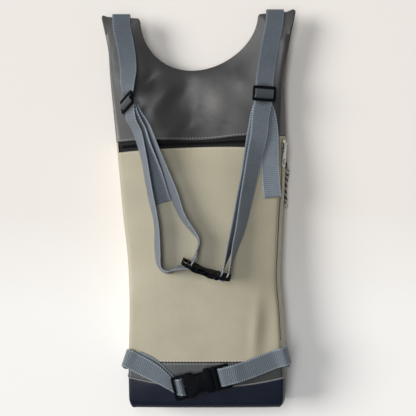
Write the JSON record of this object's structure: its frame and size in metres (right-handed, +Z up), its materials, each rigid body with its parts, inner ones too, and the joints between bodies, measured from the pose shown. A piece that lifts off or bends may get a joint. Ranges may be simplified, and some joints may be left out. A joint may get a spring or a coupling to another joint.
{
  "type": "rucksack",
  "caption": "Slim coated-cloth rucksack lying on its front, with shoulder horns round a neckline, slack webbing straps with sliders and chest buckle, hip belt, zips and dark base.",
  "frame": {"origin": "on the flat front panel that the bag rests on, at its middle line and half way along the bag", "axes": "+X to the bag's right as the back is seen, +Y from the base to the shoulder horns, +Z up out of the back"},
  "size_m": [0.2714, 0.5521, 0.1024],
  "materials": {
    "grey_cloth": "matt coated cloth, mid grey",
    "beige_cloth": "matt coated cloth, sand beige",
    "navy_cloth": "matt coated cloth, dark navy",
    "webbing": "woven webbing, blue grey",
    "black_tape": "woven zip tape and coil, black",
    "beige_tape": "woven zip tape and coil, beige",
    "black_plastic": "moulded plastic, black",
    "silver_metal": "plated metal, satin silver",
    "cord": "twisted cord, black and white"
  },
  "bodies": {
    "bag": {"back_yoke": "grey_cloth", "front_yoke": "grey_cloth", "side_yoke_left": "grey_cloth", "side_yoke_right": "grey_cloth", "lower_band": "grey_cloth", "back_panel": "beige_cloth", "front_panel": "beige_cloth", "side_panel_left": "beige_cloth", "side_panel_right": "beige_cloth", "base": "navy_cloth", "back_zip_tape": "black_tape", "back_zip_coil": "black_tape", "cord_tab": "black_tape", "side_zip_tape": "beige_tape", "side_zip_coil": "beige_tape", "side_zip_slider": "silver_metal", "strap_left": "webbing", "strap_left_tail": "webbing", "strap_right": "webbing", "strap_right_tail": "webbing", "hip_belt_left": "webbing", "hip_belt_right": "webbing", "slider_left": "black_plastic", "slider_right": "black_plastic", "chest_buckle_socket": "black_plastic", "chest_buckle_plug": "black_plastic", "hip_buckle_socket": "black_plastic", "hip_buckle_plug": "black_plastic", "pull_cord": "cord", "cord_knot": "cord"},
    "zip_tab": {"side_zip_pull": "silver_metal"}
  },
  "joints": [
    {"name": "zip_tab_hinge", "type": "hinge", "parent": "bag", "child": "zip_tab", "pos_m": [0.12158, 0.08621, 0.03717], "axis": [-0.6512, 0.1124, 0.7505], "range_deg": [0, 150]}
  ]
}
